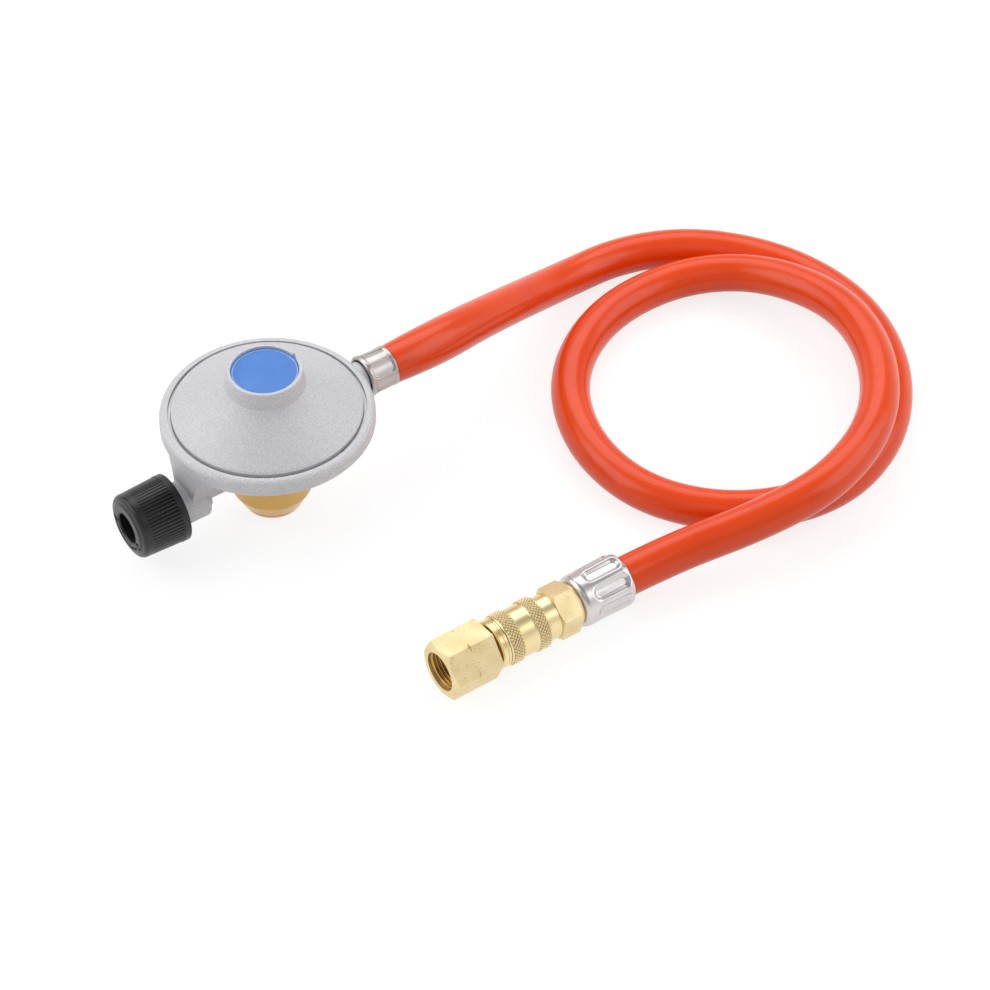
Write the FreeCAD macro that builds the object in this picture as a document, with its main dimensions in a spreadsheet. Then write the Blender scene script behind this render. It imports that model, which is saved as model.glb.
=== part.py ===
"""Low-pressure propane regulator with its outlet hose and a quick coupling.

The regulator screws down onto a threaded gas cartridge, a tap on its arm shuts the gas off, and
the crimped hose ends in a ball-lock coupling that holds a nut with a left-hand appliance thread.
Millimetres. Z is the regulator's axis, up; Z = 0 is the mouth of the cartridge connector, on which
the regulator stands; +X runs from the tap to the hose outlet.
"""
import FreeCAD, Part
import math
import os
import re

import Sketcher

Vector = FreeCAD.Vector
Rotation = FreeCAD.Rotation

SIZES = {
    # cartridge connector, turned brass; heights from its mouth
    "foot_radius": 11.0,
    "connector_radius": 15.0,
    "taper_height": 8.0,
    "line_height": 1.5,
    "line_width": 0.5,
    "line_depth": 0.35,
    "connector_height": 18.0,
    "spigot_radius": 9.0,
    "spigot_height": 8.0,
    "cartridge_bore_radius": 5.1,
    "cartridge_bore_depth": 10.0,
    "cartridge_seal_margin": 0.8,
    "cartridge_seal_bore": 3.2,
    "cartridge_seal_height": 2.4,
    "gas_bore_radius": 2.4,
    "pin_radius": 1.1,
    "pin_recess": 0.2,
    "pin_length": 14.5,
    "pin_collar_length": 2.0,
    # body casting: hub, bowl and rim
    "hub_radius": 17.0,
    "hub_height": 8.0,
    "chamber_radius": 4.4,
    "chamber_height": 2.3,
    "floor_wall": 1.2,
    "floor_radius": 18.0,
    "floor_rise": 7.5,
    "bowl_rise": 5.0,
    "ledge_rise": 10.7,
    "ledge_width": 3.7,
    "rim_radius": 39.3,
    "rim_wall": 3.1,
    "rim_drop": 0.2,
    "rim_undercut": 0.9,
    "rim_overhang": 5.8,
    "rim_lip": 1.1,
    "rim_rounding": 2.4,
    "duct_radius": 0.9,
    "duct_offset": 3.6,
    # retaining ring and its groove in the rim
    "ring_thickness": 1.1,
    "ring_clearance": 0.2,
    "ring_gap": 1.2,
    "ring_gap_angle": -73.0,
    "groove_depth": 0.7,
    # cover casting and what closes it
    "clamp_gap": 0.1,
    "cover_flange_height": 2.1,
    "cover_step": 1.3,
    "cover_step_height": 2.1,
    "cover_edge_bevel": 0.6,
    "cover_wall": 2.4,
    "cone_rise": 11.6,
    "boss_base_radius": 14.8,
    "boss_height": 6.3,
    "boss_top_radius": 13.7,
    "boss_rounding": 0.5,
    "boss_bore_radius": 11.0,
    "label_radius": 12.4,
    "label_depth": 1.1,
    "label_thickness": 0.6,
    "label_tab_width": 2.6,
    "label_tab_reach": 0.8,
    "adjuster_gap": 0.6,
    "adjuster_thickness": 3.0,
    "adjuster_socket_radius": 3.0,
    # diaphragm and what it carries
    "diaphragm_thickness": 0.9,
    "convolution_depth": 1.7,
    "plate_margin": 10.5,
    "plate_thickness": 1.0,
    "plate_lip": 1.0,
    "stem_radius": 2.0,
    "stem_neck_radius": 1.2,
    "stem_head_radius": 2.6,
    "stem_head_height": 1.0,
    "stem_collar_radius": 4.5,
    "stem_nut_radius": 4.0,
    "stem_nut_height": 2.0,
    "main_spring_radius": 8.5,
    "main_spring_wire": 0.8,
    "main_spring_turns": 4.5,
    "coil_steps": 18,
    # lever, its pin and the inlet jet
    "lever_rise": 5.75,
    "lever_thickness": 1.5,
    "lever_half_width": 2.6,
    "lever_pivot": 10.5,
    "lever_boss_radius": 1.9,
    "lever_pin_radius": 0.9,
    "ear_gap": 0.6,
    "ear_thickness": 2.0,
    "ear_half_width": 2.2,
    "jet_arm": 3.5,
    "jet_depth": 3.0,
    "jet_shank_radius": 2.2,
    "jet_flange_radius": 3.0,
    "jet_flange_height": 1.4,
    "jet_tip_radius": 1.3,
    "jet_bore_radius": 0.6,
    "valve_pad_radius": 1.55,
    "valve_pad_thickness": 0.9,
    "valve_lift": 0.75,
    "stem_play": 0.5,
    # arm and tap
    "tap_rise": 1.0,
    "arm_rise": 1.4,
    "arm_half_width": 5.5,
    "skirt_radius": 37.6,
    "skirt_foot_half_width": 6.5,
    "skirt_foot_rise": 3.0,
    "skirt_flank_radius": 17.0,
    "collar_radius": 8.2,
    "collar_inset": 9.6,
    "collar_rounding": 1.5,
    "seat_wall": 2.5,
    "seat_bore_length": 1.2,
    "seat_radius": 1.1,
    "tap_chamber_radius": 3.4,
    "tap_chamber_length": 5.1,
    "bearing_radius": 4.2,
    "bearing_length": 3.7,
    "gland_radius": 4.9,
    "gland_depth": 4.0,
    "carrier_gap": 0.4,
    "carrier_length": 3.6,
    "carrier_face": 0.8,
    "carrier_travel": 1.25,
    "spindle_nose_radius": 1.5,
    "spindle_radius": 2.5,
    "gland_nut_length": 3.2,
    # tap knob
    "knob_overlap": 3.2,
    "knob_length": 18.9,
    "knob_gap": 1.4,
    "knob_wall": 3.46,
    "knob_taper": 0.76,
    "knob_flange_length": 2.4,
    "knob_flange_step": 0.15,
    "knob_rounding": 1.9,
    "knob_cavity_depth": 6.2,
    "knob_recess_radius": 5.9,
    "knob_recess_depth": 8.2,
    "knob_web": 0.6,
    "knob_groove_depth": 0.45,
    "knob_groove_width": 0.7,
    "knob_grooves": 60,
    "knob_groove_length": 12.4,
    "knob_mark_offset": 3.2,
    "knob_mark_width": 0.8,
    "knob_mark_depth": 0.4,
    "knob_mark_sweep": 150.0,
    "knob_mark_turn": 225.0,
    "knob_screw_radius": 1.2,
    "knob_screw_head_radius": 2.8,
    "knob_screw_head_height": 1.8,
    "knob_screw_length": 5.5,
    # outlet tail, cast with the body, and its ferrule
    "outlet_drop": 1.2,
    "outlet_boss_radius": 6.3,
    "outlet_reach": 1.3,
    "outlet_rib_half_width": 5.0,
    "outlet_duct_radius": 1.7,
    "outlet_duct_run": 12.0,
    "outlet_duct_climb": 4.0,
    "tail_bore_radius": 2.6,
    "tail_wall": 0.9,
    "tail_barb": 0.6,
    "tail_length": 21.0,
    "tail_barb_pitch": 4.5,
    "ferrule_squeeze": 0.5,
    "ferrule_wall": 1.15,
    "ferrule_taper": 0.35,
    "ferrule_length": 12.0,
    "crimp_length": 9.0,
    "crimp_width": 4.0,
    "crimp_depth": 0.5,
    "crimps": 8,
    # hose
    "hose_radius": 7.5,
    # coupling, lying along X; distances along it are from the nut's front face
    "coupling_x": -4.1,
    "coupling_y": -116.2,
    "coupling_height": 11.5,
    "nut_flats": 20.0,
    "nut_length": 19.5,
    "nut_turn": 22.0,
    "nut_chamfer": 1.2,
    "nut_nick_depth": 0.9,
    "nut_nick_half_width": 0.6,
    "appliance_bore_radius": 7.475,
    "appliance_bore_depth": 13.0,
    "plug_bore_radius": 3.0,
    "plug_radius": 6.4,
    "plug_nose_step": 1.4,
    "plug_neck_length": 1.7,
    "plug_length": 20.5,
    "plug_nose_length": 5.5,
    "seal_offset": 1.6,
    "seal_wire": 0.95,
    "stop_ring_radius": 9.2,
    "stop_ring_length": 3.2,
    "stop_ring_wall": 1.0,
    "stop_ring_bore_gap": 0.3,
    "sleeve_gap": 0.3,
    "sleeve_radius": 9.45,
    "sleeve_waist_depth": 0.25,
    "sleeve_band": 5.8,
    "sleeve_length": 17.2,
    "sleeve_lip": 0.8,
    "sleeve_relief": 4.0,
    "sleeve_relief_gap": 0.25,
    "sleeve_land": 4.2,
    "socket_wall": 1.2,
    "socket_rear_step": 0.9,
    "socket_length": 25.5,
    "ball_radius": 1.5,
    "ball_gap": 0.15,
    "balls": 6,
    "running_gap": 0.05,
    "poppet_radius": 3.6,
    "poppet_head": 2.0,
    "poppet_guide_radius": 1.4,
    "poppet_length": 5.0,
    "valve_chamber_radius": 5.4,
    "tail_hex_flats": 17.6,
    "tail_hex_turn": 8.0,
    "tail_hex_length": 8.9,
    "tail_hex_chamfer": 0.8,
    "tail_spigot_length": 4.0,
    "tail_neck_radius": 8.0,
    "tail_neck_length": 1.2,
    "coupling_ferrule_wall": 2.5,
    "coupling_ferrule_taper": 0.6,
    "coupling_ferrule_length": 21.4,
    "coupling_ferrule_rounding": 2.2,
    "coupling_ferrule_end_wall": 1.2,
    "coupling_crimp_length": 16.5,
    "coupling_crimp_width": 5.0,
    "coupling_crimp_depth": 0.9,
    "coupling_run": 38.0,
    "sleeve_spring_wire": 0.4,
    "sleeve_spring_turns": 4.0,
    "poppet_spring_wire": 0.35,
    "poppet_spring_turns": 4.0,
    "wall_gap": 0.05,
}

# Heights, radii and faces that follow from the sizes, each written once.
LEVELS = {
    "connector_top": "connector_height + spigot_height",
    "pin_tip": "cartridge_bore_depth + pin_recess",
    "cartridge_seal_radius": "cartridge_bore_radius + cartridge_seal_margin",
    "seal_floor": "cartridge_bore_depth + cartridge_seal_height + wall_gap",
    "hub_top": "connector_height + hub_height",
    "floor_level": "connector_top + chamber_height + floor_wall",
    "bowl_level": "floor_level + bowl_rise",
    "ledge_level": "floor_level + ledge_rise",
    "rim_low": "ledge_level - rim_drop",
    "rim_bore": "rim_radius - rim_wall",
    "ledge_bore": "rim_bore - ledge_width",
    "bowl_radius": "rim_radius - rim_overhang",
    "cover_low": "ledge_level + diaphragm_thickness + clamp_gap",
    "cover_flange_top": "cover_low + cover_flange_height",
    "ring_level": "cover_flange_top + clamp_gap",
    "groove_top": "ring_level + ring_thickness + clamp_gap",
    "groove_radius": "rim_bore + groove_depth",
    "rim_top": "groove_top + rim_lip - clamp_gap",
    "cover_radius": "rim_bore - cover_step",
    "ring_bore": "cover_radius + ring_clearance",
    "cover_edge": "ring_level + ring_thickness + cover_step_height",
    "boss_base": "cover_edge + cone_rise",
    "boss_top": "boss_base + boss_height",
    "cone_slope": "cone_rise / (cover_radius - boss_base_radius)",
    "label_level": "boss_top - label_depth - label_thickness",
    "adjuster_top": "label_level - adjuster_gap",
    "adjuster_low": "adjuster_top - adjuster_thickness",
    "diaphragm_low": "ledge_level + wall_gap",
    "diaphragm_top": "diaphragm_low + diaphragm_thickness",
    "plate_low": "diaphragm_top + wall_gap",
    "plate_top": "plate_low + plate_thickness",
    "plate_radius": "ledge_bore - plate_margin",
    "lever_level": "floor_level + lever_rise",
    "lever_low": "lever_level - lever_thickness / 2",
    "lever_high": "lever_level + lever_thickness / 2",
    "jet_offset": "lever_pivot + jet_arm",
    "jet_tip": "lever_low - valve_pad_thickness - valve_lift",
    "ear_reach": "lever_half_width + ear_gap + ear_thickness",
    "tap_level": "connector_height + tap_rise",
    "arm_low": "tap_level + arm_rise",
    "skirt_foot": "tap_level + skirt_foot_rise",
    "collar_face": "rim_radius - collar_inset",
    "seat_face": "collar_face + seat_wall",
    "seat_back": "seat_face - seat_bore_length",
    "chamber_face": "seat_face + tap_chamber_length",
    "gland_face": "chamber_face + bearing_length",
    "collar_mouth": "gland_face + gland_depth",
    "carrier_radius": "tap_chamber_radius - carrier_gap",
    "carrier_low": "seat_face + 2 * wall_gap",
    "carrier_bore_end": "carrier_low + carrier_face",
    "gland_wire": "(gland_radius - spindle_radius - running_gap - wall_gap) / 2",
    "gland_nut_face": "gland_face + 2 * gland_wire + 2 * wall_gap",
    "knob_rear": "collar_mouth - knob_overlap",
    "knob_front": "knob_rear + knob_length",
    "knob_cavity_radius": "collar_radius + knob_gap",
    "knob_rear_radius": "knob_cavity_radius + knob_wall",
    "knob_front_radius": "knob_rear_radius - knob_taper",
    "knob_floor": "knob_front - knob_recess_depth",
    "knob_mark_radius": "knob_recess_radius + knob_mark_offset",
    "spindle_end": "knob_floor - knob_web",
    "outlet_level": "ledge_level - outlet_drop",
    "outlet_face": "rim_radius + outlet_reach",
    "tail_core": "tail_bore_radius + tail_wall",
    "tail_crest": "tail_core + tail_barb",
    "ferrule_bore": "hose_radius - ferrule_squeeze",
    "ferrule_radius": "ferrule_bore + ferrule_wall",
    "ferrule_low": "outlet_face + 4 * wall_gap",
    "ferrule_high": "ferrule_low + ferrule_length",
    "socket_radius": "plug_radius + socket_wall",
    "socket_rear_radius": "socket_radius + socket_rear_step",
    "sleeve_relief_radius": "socket_rear_radius + sleeve_relief_gap",
    "sleeve_waist": "sleeve_radius - sleeve_waist_depth",
    "plug_groove": "socket_radius - 2 * ball_radius - ball_gap",
    "plug_nose_radius": "plug_radius - plug_nose_step",
    "stop_face": "nut_length + plug_neck_length",
    "socket_face": "stop_face + stop_ring_wall + wall_gap",
    "sleeve_face": "stop_face + stop_ring_length + sleeve_gap",
    "relief_face": "sleeve_face + sleeve_lip",
    "land_face": "relief_face + sleeve_relief",
    "land_end": "land_face + sleeve_land",
    "ball_face": "land_face + sleeve_land / 2",
    "sleeve_end": "sleeve_face + sleeve_length",
    "plug_nose": "nut_length + plug_length",
    "nose_step": "plug_nose - plug_nose_length",
    "seal_face": "nose_step + seal_offset",
    "seal_end": "seal_face + 2 * seal_wire + 4 * wall_gap",
    "seal_radius": "plug_nose_radius + 2 * seal_wire + running_gap",
    "poppet_face": "plug_nose + wall_gap",
    "poppet_seat": "poppet_face + poppet_head",
    "socket_end": "stop_face + socket_length",
    "hex_end": "socket_end + tail_hex_length",
    "end_ferrule_face": "hex_end + tail_neck_length",
    "end_ferrule_radius": "hose_radius + coupling_ferrule_wall",
}

# The hose's centreline between the two ferrules: it leaves the outlet level, sinks to the floor,
# makes one loose turn, climbs over itself and comes down to the coupling.
HOSE_ROUTE = [
    (70, 0, 39),
    (104, 11, 29),
    (152, 29, 9),
    (184, 30, 7.5),
    (213, 16, 7.5),
    (235, -14, 7.5),
    (241, -50, 7.5),
    (229, -85, 7.5),
    (203, -112.5, 7.5),
    (168, -124.5, 7.5),
    (132, -113, 7.5),
    (108.5, -85.5, 7.5),
    (106, -50, 7.5),
    (122, -16, 7.5),
    (154, 5, 7.5),
    (192, 7, 7.5),
    (218, -14, 13),
    (227.5, -51, 19.5),
    (218, -86, 22.8),
    (194.5, -115.5, 23.8),
    (161, -130, 22.8),
    (129.5, -127, 18),
]

doc = FreeCAD.newDocument("regulator_hose")
sheet = doc.addObject("Spreadsheet::Sheet", "Sizes")
for row, (alias, number) in enumerate(SIZES.items(), start=1):
    sheet.set("A%d" % row, alias)
    sheet.set("B%d" % row, str(number))
    sheet.setAlias("B%d" % row, alias)
for row, (alias, formula) in enumerate(LEVELS.items(), start=len(SIZES) + 1):
    sheet.set("A%d" % row, alias)
    sheet.set("B%d" % row, "=" + formula)
    sheet.setAlias("B%d" % row, alias)
doc.recompute()

NODES = {}


def size(alias):
    """One driving dimension, read back from the sheet."""
    return float(sheet.get(alias))


def bound(text):
    """An expression written with plain aliases, as the document's expressions need it."""
    return re.sub(r"[A-Za-z_]+", lambda word: "Sizes." + word.group(0)
                  if word.group(0) in SIZES or word.group(0) in LEVELS else word.group(0), text)


def keep(node, piece):
    """Name a finished piece after its node."""
    piece.Label = node
    NODES[node] = piece
    return piece


def place(piece, along=None, across=None, up=None, turn=None):
    """Turn a piece and bind its position to the sheet."""
    if turn is not None:
        piece.Placement = FreeCAD.Placement(Vector(), turn)
    for letter, text in (("x", along), ("y", across), ("z", up)):
        if text is not None:
            piece.setExpression("Placement.Base." + letter, bound(text))
    return piece


def origin_item(body, role):
    """One of a body's own origin planes or axes."""
    return next(item for item in body.Origin.OriginFeatures if item.Role == role)


def outline(body, name, role, points, offset=None):
    """A closed sketch through points given as pairs of expressions; "0" lies on an axis."""
    sketch = body.newObject("Sketcher::SketchObject", name)
    sketch.AttachmentSupport = (origin_item(body, role), [""])
    sketch.MapMode = "FlatFace"
    if offset is not None:
        sketch.setExpression("AttachmentOffset.Base.z", bound(offset))
    count = len(points)
    ring = [Vector(10 + 5 * math.cos(k * 2 * math.pi / count),
                   10 + 5 * math.sin(k * 2 * math.pi / count), 0) for k in range(count)]
    for k in range(count):
        sketch.addGeometry(Part.LineSegment(ring[k], ring[(k + 1) % count]))
    for k in range(count):
        sketch.addConstraint(Sketcher.Constraint("Coincident", k, 2, (k + 1) % count, 1))
    for k, pair in enumerate(points):
        for kind, text, axis in (("DistanceX", pair[0], -2), ("DistanceY", pair[1], -1)):
            if text == "0":
                sketch.addConstraint(Sketcher.Constraint("PointOnObject", k, 1, axis))
            else:
                index = sketch.addConstraint(Sketcher.Constraint(kind, -1, 1, k, 1, 10.0))
                sketch.setExpression("Constraints[%d]" % index, bound(text))
    return sketch


def turned(name, axis, points):
    """A PartDesign body made by revolving an outline about the X or the Z axis.

    Points are (distance along X, radius) about X, and (radius, height) about Z.
    """
    body = doc.addObject("PartDesign::Body", name)
    role, reference = {"X": ("XY_Plane", "H_Axis"), "Z": ("XZ_Plane", "V_Axis")}[axis]
    sketch = outline(body, name + "_outline", role, points)
    turn = body.newObject("PartDesign::Revolution", name + "_turn")
    turn.Profile = sketch
    turn.ReferenceAxis = (sketch, [reference])
    turn.Angle = 360
    body.Tip = turn
    doc.recompute()
    return body


def rounded(body, radius, test):
    """Fillet the edges of a body's tip that pass a test."""
    tip = body.Tip
    edges = ["Edge%d" % (k + 1) for k, edge in enumerate(tip.Shape.Edges) if test(edge)]
    fillet = body.newObject("PartDesign::Fillet", body.Name + "_rounding")
    fillet.Base = (tip, edges)
    fillet.setExpression("Radius", bound(radius))
    body.Tip = fillet
    doc.recompute()
    return body


def is_circle(edge, radius, axis, distance):
    """Whether an edge is a full circle of that radius, that far along an axis."""
    if not edge.Closed or not isinstance(edge.Curve, Part.Circle):
        return False
    return (abs(edge.Curve.Radius - radius) < 0.01
            and abs(edge.Curve.Center.dot(axis) - distance) < 0.01)


def cylinder(name, radius, length, turn=None, along="0", across="0", up="0"):
    """A bound cylinder along Z, or along the turned Z."""
    piece = doc.addObject("Part::Cylinder", name)
    piece.setExpression("Radius", bound(radius))
    piece.setExpression("Height", bound(length))
    return place(piece, along, across, up, turn)


def block(name, length, width, height, along, across, up):
    """A bound box from its lowest corner."""
    piece = doc.addObject("Part::Box", name)
    for side, text in (("Length", length), ("Width", width), ("Height", height)):
        piece.setExpression(side, bound(text))
    return place(piece, along, across, up)


def fused(name, pieces):
    """The union of several pieces."""
    union = doc.addObject("Part::MultiFuse", name)
    union.Shapes = pieces
    union.Refine = True
    doc.recompute()
    return union


def cut(name, base, tools):
    """A piece with one or more tools taken out of it."""
    result = doc.addObject("Part::Cut", name)
    result.Base = base
    result.Tool = tools[0] if len(tools) == 1 else fused(name + "_tools", tools)
    result.Refine = True
    doc.recompute()
    return result


def hexagonal(name, body, flats, length, start, angle):
    """The part of a turned piece inside a hexagonal bar along X."""
    bar = doc.addObject("Part::Prism", name + "_bar")
    bar.Polygon = 6
    bar.setExpression("Circumradius", bound("(%s) / sqrt(3)" % flats))
    bar.setExpression("Height", bound(length))
    place(bar, start, turn=Rotation(Vector(1, 0, 0), angle).multiply(ALONG_X))
    common = doc.addObject("Part::Common", name)
    common.Base = body
    common.Tool = bar
    doc.recompute()
    return common


def coil(node, radius, wire, length, turns, turn, position):
    """A helical spring of faceted wire, from a point along a direction."""
    steps = int(size("coil_steps"))
    count = int(round(turns * steps))
    sections = []
    for k in range(count + 1):
        angle = 2 * math.pi * k / steps
        outward = Vector(math.cos(angle), math.sin(angle), 0)
        centre = outward * radius + Vector(0, 0, wire + (length - 2 * wire) * k / count)
        corners = []
        for side in range(7):
            around = 2 * math.pi * side / 6
            corners.append(centre + outward * (wire * math.cos(around))
                           + Vector(0, 0, wire * math.sin(around)))
        sections.append(Part.makePolygon(corners))
    piece = doc.addObject("Part::Feature", node)
    piece.Shape = Part.makeLoft(sections, True, True)
    piece.Placement = FreeCAD.Placement(position, turn)
    return keep(node, piece)


ALONG_X = Rotation(Vector(0, 0, 1), Vector(1, 0, 0))
ALONG_Y = Rotation(Vector(0, 0, 1), Vector(0, 1, 0))
TO_TAP = Rotation(Vector(0, 0, 1), 180)
ALONG_TAP = Rotation(Vector(0, 0, 1), Vector(-1, 0, 0))


# --- cartridge connector -------------------------------------------------------------------
def make_connector():
    slope = "(connector_radius - foot_radius) / taper_height"
    keep("cartridge_connector", turned("connector", "Z", [
        ("cartridge_bore_radius", "0"),
        ("foot_radius", "0"),
        ("foot_radius + line_height * " + slope, "line_height"),
        ("foot_radius + line_height * " + slope + " - line_depth", "line_height + line_width / 2"),
        ("foot_radius + (line_height + line_width) * " + slope, "line_height + line_width"),
        ("connector_radius", "taper_height"),
        ("connector_radius", "connector_height"),
        ("spigot_radius", "connector_height"),
        ("spigot_radius", "connector_top"),
        ("gas_bore_radius", "connector_top"),
        ("gas_bore_radius", "seal_floor"),
        ("cartridge_seal_radius", "seal_floor"),
        ("cartridge_seal_radius", "cartridge_bore_depth"),
        ("cartridge_bore_radius", "cartridge_bore_depth"),
    ]))
    keep("cartridge_seal", turned("seal", "Z", [
        ("cartridge_seal_bore", "cartridge_bore_depth"),
        ("cartridge_seal_radius - wall_gap", "cartridge_bore_depth"),
        ("cartridge_seal_radius - wall_gap", "cartridge_bore_depth + cartridge_seal_height"),
        ("cartridge_seal_bore", "cartridge_bore_depth + cartridge_seal_height"),
    ]))
    collar = "seal_floor + 1 - wall_gap"
    pin = turned("pin", "Z", [
        ("0", "pin_tip"),
        ("pin_radius", "pin_tip"),
        ("pin_radius", collar),
        ("gas_bore_radius", collar),
        ("gas_bore_radius", collar + " + pin_collar_length"),
        ("pin_radius", collar + " + pin_collar_length"),
        ("pin_radius", "pin_tip + pin_length"),
        ("0", "pin_tip + pin_length"),
    ])
    flats = []
    for name, side in (("near", "-gas_bore_radius - 1"), ("far", "pin_radius")):
        flats.append(block("pin_flat_" + name, "2 * gas_bore_radius", "gas_bore_radius + 1 - pin_radius",
                           "pin_length", "-gas_bore_radius", side, "pin_tip"))
    keep("opening_pin", cut("pin_with_flats", pin, flats))


# --- body casting ---------------------------------------------------------------------------
def outer_casting():
    bowl = turned("bowl", "Z", [
        ("0", "connector_height"),
        ("hub_radius", "connector_height"),
        ("hub_radius", "hub_top"),
        ("bowl_radius", "bowl_level"),
        ("rim_radius - rim_undercut", "rim_low - 1.2"),
        ("rim_radius", "rim_low"),
        ("rim_radius", "rim_top"),
        ("0", "rim_top"),
    ])
    rounded(bowl, "rim_rounding", lambda edge: is_circle(
        edge, size("rim_radius"), Vector(0, 0, 1), size("rim_top")))
    collar = turned("collar", "X", [
        ("collar_face", "0"),
        ("collar_face", "collar_radius"),
        ("collar_mouth", "collar_radius"),
        ("collar_mouth", "0"),
    ])
    rounded(collar, "collar_rounding", lambda edge: is_circle(
        edge, size("collar_radius"), Vector(1, 0, 0), size("collar_face")))
    place(collar, up="tap_level", turn=TO_TAP)
    arm = block("arm", "skirt_radius - 2", "2 * arm_half_width", "ledge_level - 2 - arm_low",
                "2 - skirt_radius", "-arm_half_width", "arm_low")
    rib = block("outlet_rib", "bowl_radius + 4 - floor_radius", "2 * outlet_rib_half_width",
                "ledge_level - 2.2 - (bowl_level - 3.5)",
                "floor_radius", "-outlet_rib_half_width", "bowl_level - 3.5")
    tail = place(tail_outline("outlet_tail", "rim_radius - 2.3", "outlet_boss_radius",
                              "outlet_face", "tail_length"), up="outlet_level")
    return fused("casting_blank", [bowl, collar, arm, make_skirt(), rib, tail])


def make_skirt():
    """The web that spreads from the arm to the rim, hollowed on both flanks."""
    width = "skirt_foot_half_width + skirt_flank_radius"
    slab = block("skirt_slab", "collar_inset", "2 * (%s)" % width, "rim_low - 1 - tap_level",
                 "-skirt_radius - 1", "-(%s)" % width, "tap_level")
    face = cylinder("skirt_face", "skirt_radius", "rim_low", up="0")
    web = doc.addObject("Part::Common", "skirt_web")
    web.Base = slab
    web.Tool = face
    flanks = []
    for name, side in (("near", "-(%s)" % width), ("far", width)):
        flanks.append(cylinder("skirt_flank_" + name, "skirt_flank_radius", "2 * collar_inset",
                               ALONG_TAP, "collar_inset - skirt_radius", side, "skirt_foot"))
    doc.recompute()
    return cut("skirt", web, flanks)


def tail_outline(name, start, boss_radius, boss_end, length):
    """A solid hose tail along X with three barbs, behind a round boss."""
    points = [(start, "0"), (start, boss_radius), (boss_end, boss_radius)]
    for barb in range(3):
        foot = "%s + %s - %d * tail_barb_pitch" % (boss_end, length, 3 - barb)
        points.append((foot, "tail_core"))
        points.append((foot, "tail_crest"))
    points[3] = (boss_end, "tail_core")
    points.insert(4, ("%s + %s - 3 * tail_barb_pitch" % (boss_end, length), "tail_core"))
    points.append(("%s + %s" % (boss_end, length), "tail_core - 0.3"))
    points.append(("%s + %s" % (boss_end, length), "0"))
    return turned(name, "X", points)


def cavity_tools():
    """The bowl's chamber, the hub's bore, the ducts and the tap's bores."""
    chamber = turned("chamber", "Z", [
        ("0", "floor_level"),
        ("floor_radius", "floor_level"),
        ("ledge_bore", "floor_level + floor_rise"),
        ("ledge_bore", "ledge_level"),
        ("rim_bore", "ledge_level"),
        ("rim_bore", "ring_level"),
        ("groove_radius", "ring_level"),
        ("groove_radius", "groove_top"),
        ("rim_bore", "groove_top"),
        ("rim_bore", "rim_top + 1"),
        ("0", "rim_top + 1"),
    ])
    inlet = turned("inlet", "Z", [
        ("0", "connector_height - 1"),
        ("spigot_radius + wall_gap", "connector_height - 1"),
        ("spigot_radius + wall_gap", "connector_top + wall_gap"),
        ("chamber_radius", "connector_top + wall_gap"),
        ("chamber_radius", "connector_top + chamber_height"),
        ("0", "connector_top + chamber_height"),
    ])
    tap = place(turned("tap_bore", "X", [
        ("seat_back", "0"),
        ("seat_back", "seat_radius"),
        ("seat_face", "seat_radius"),
        ("seat_face", "tap_chamber_radius"),
        ("chamber_face", "tap_chamber_radius"),
        ("chamber_face", "bearing_radius"),
        ("gland_face", "bearing_radius"),
        ("gland_face", "gland_radius"),
        ("collar_mouth + 1", "gland_radius"),
        ("collar_mouth + 1", "0"),
    ]), up="tap_level", turn=TO_TAP)
    feed_height = "connector_top + duct_radius + 0.6"
    feed_end = "seat_face + seat_bore_length"
    jet_duct_height = "arm_low + 3.6"
    ducts = [
        cylinder("feed_duct", "duct_radius", feed_end + " - 1.5", ALONG_TAP, "-1.5",
                 "-duct_offset", feed_height),
        cylinder("feed_drop", "duct_radius", feed_height + " - tap_level", None,
                 "-(" + feed_end + ")", "-duct_offset + 1", "tap_level"),
        cylinder("feed_turn", "duct_radius", "1", ALONG_Y, "-(" + feed_end + ")",
                 "-duct_offset", feed_height),
        cylinder("jet_rise", "duct_radius", jet_duct_height + " - tap_level", None,
                 "-seat_back", "0", "tap_level"),
        cylinder("jet_duct", "duct_radius", "seat_back - jet_offset", ALONG_X,
                 "-seat_back", "0", jet_duct_height),
        cylinder("jet_feed", "duct_radius", "floor_level - (" + jet_duct_height + ")", None,
                 "-jet_offset", "0", jet_duct_height),
        cylinder("jet_bore", "jet_shank_radius + wall_gap", "jet_depth + 1.2", None,
                 "-jet_offset", "0", "floor_level - jet_depth - 0.2"),
        cylinder("tail_bore", "tail_bore_radius", "tail_length + 3", ALONG_X,
                 "rim_radius - 1.5", "0", "outlet_level"),
    ]
    slope = Rotation(Vector(0, 0, 1),
                     Vector(size("outlet_duct_run"), 0, size("outlet_duct_climb")))
    ducts.append(cylinder("outlet_duct", "outlet_duct_radius",
                          "sqrt(outlet_duct_run ^ 2 + outlet_duct_climb ^ 2)", slope,
                          "rim_radius - outlet_duct_run", "0",
                          "outlet_level - outlet_duct_climb - 0.3"))
    return [chamber, inlet, tap] + ducts


def make_body_casting():
    hollow = cut("casting_hollow", outer_casting(), cavity_tools())
    ears = []
    for name, side in (("near", "-ear_reach"), ("far", "lever_half_width + ear_gap")):
        ears.append(block("ear_" + name, "2 * ear_half_width", "ear_thickness",
                          "lever_level + ear_half_width - floor_level + 0.5",
                          "-lever_pivot - ear_half_width", side, "floor_level - 0.5"))
    with_ears = fused("casting_with_ears", [hollow] + ears)
    pin_hole = cylinder("pin_hole", "lever_pin_radius + wall_gap", "2 * ear_reach + 2", ALONG_Y,
                        "-lever_pivot", "-ear_reach - 1", "lever_level")
    keep("body_casting", cut("casting", with_ears, [pin_hole]))


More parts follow.
